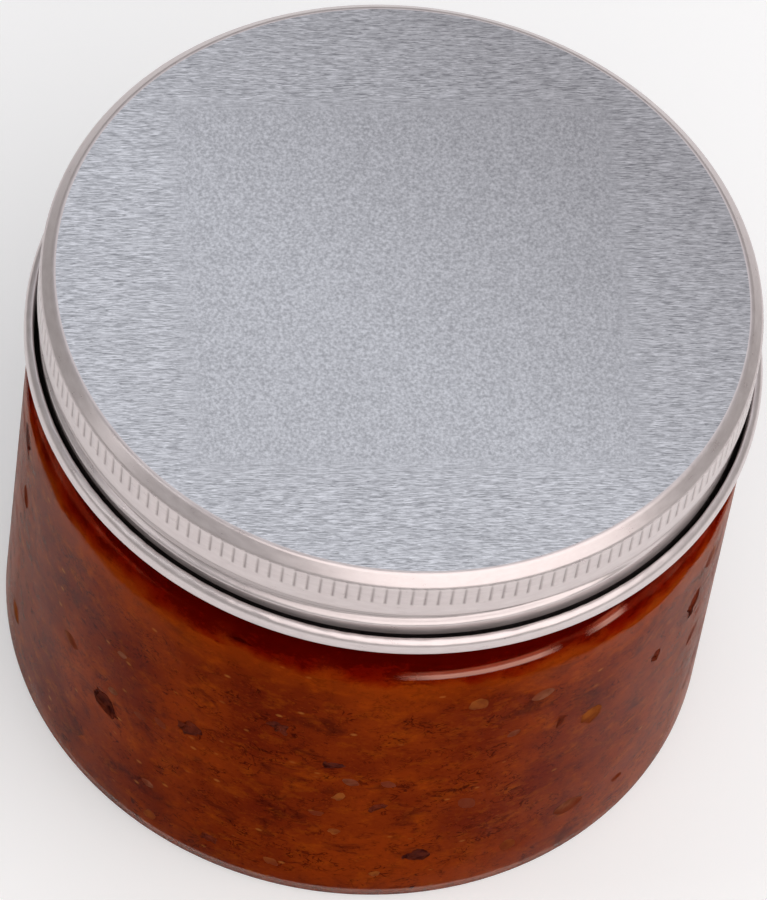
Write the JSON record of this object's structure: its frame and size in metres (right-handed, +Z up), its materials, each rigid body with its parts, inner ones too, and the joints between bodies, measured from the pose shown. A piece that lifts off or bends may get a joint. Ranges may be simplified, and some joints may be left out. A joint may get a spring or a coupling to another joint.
{
  "type": "condiment jar",
  "caption": "Clear straight-sided plastic condiment jar filled with chili paste, closed by a knurled aluminium screw lid with a rolled thread and curled foot.",
  "frame": {"origin": "centre of the base, on the surface that the jar stands on", "axes": "+Z up along the jar's axis, -Y towards the viewer of the picture"},
  "size_m": [0.0874, 0.0874, 0.0682],
  "materials": {
    "clear_plastic": "clear blown PET, polished",
    "lid_aluminium": "fine brushed panel, drawn and lacquered skirt",
    "liner_foam": "foamed polyethylene sheet",
    "paste": "moist chili paste",
    "oil": "dark red chili oil",
    "seeds": "pale chili seed in oil",
    "flakes": "dark chili skin in oil",
    "garlic": "chopped garlic in oil"
  },
  "bodies": {
    "jar": {"jar_body": "clear_plastic", "chili_paste": "paste", "chili_oil": "oil", "chili_seeds": "seeds", "chili_flakes": "flakes", "garlic_bits": "garlic"},
    "liner": {"lid_liner": "liner_foam"},
    "lid": {"lid_shell": "lid_aluminium"}
  },
  "joints": [
    {"name": "lid_rise", "type": "slide", "parent": "jar", "child": "liner", "axis": [0, 0, 1], "range_m": [0, 0.0255]},
    {"name": "lid_turn", "type": "hinge", "parent": "liner", "child": "lid", "pos_m": [0, 0, 0], "axis": [0, 0, 1], "range_deg": [0, 1800]}
  ],
  "couplings": [
    {"joint": "lid_rise", "follows": "lid_turn", "m_per_rad": 0.00080851}
  ]
}
